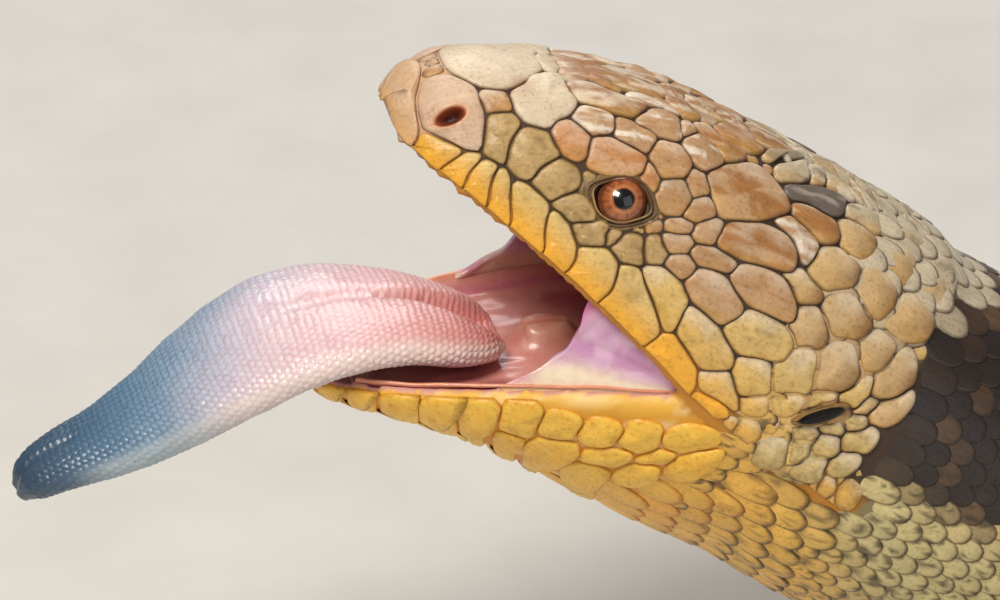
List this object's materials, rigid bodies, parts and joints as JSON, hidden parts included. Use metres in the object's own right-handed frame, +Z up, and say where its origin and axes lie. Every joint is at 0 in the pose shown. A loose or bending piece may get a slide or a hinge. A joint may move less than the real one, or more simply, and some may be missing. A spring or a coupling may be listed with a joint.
{
  "type": "blue-tongued skink",
  "caption": "Life-size blue-tongued skink standing with head raised, mouth wide open and broad blue tongue out; body rests on belly, feet and tail.",
  "frame": {"origin": "on the floor, under the middle of the model's box", "axes": "+X towards the tail and along the body, the head at -X; -Y is the animal's left side; +Z up"},
  "size_m": [0.414, 0.1322, 0.0882],
  "materials": {
    "head_skin": "cinnamon and cream head shields with dark sutures, satin",
    "jaw_skin": "yellow-orange lip and throat scales, satin",
    "body_skin": "overlapping tan scales with dark brown bands and pale blotches, satin",
    "limb_skin": "small brown scales, dark claws, satin",
    "tongue": "moist slate blue, fading to lilac pink at the root",
    "mouth_lining": "moist pink membrane",
    "eye": "orange-brown iris, black pupil, wet gloss"
  },
  "bodies": {
    "root": {"head": "head_skin", "lower_jaw": "jaw_skin", "tongue": "tongue", "cheek_right": "mouth_lining", "cheek_left": "mouth_lining", "eye_left": "eye", "eye_right": "eye", "neck": "body_skin", "chest": "body_skin", "belly": "body_skin", "tail_base": "body_skin", "tail_middle": "body_skin", "tail_tip": "body_skin", "foreleg_left": "limb_skin", "foreleg_right": "limb_skin", "hindleg_left": "limb_skin", "hindleg_right": "limb_skin", "forefoot_left": "limb_skin", "forefoot_right": "limb_skin", "hindfoot_left": "limb_skin", "hindfoot_right": "limb_skin"}
  },
  "joints": []
}
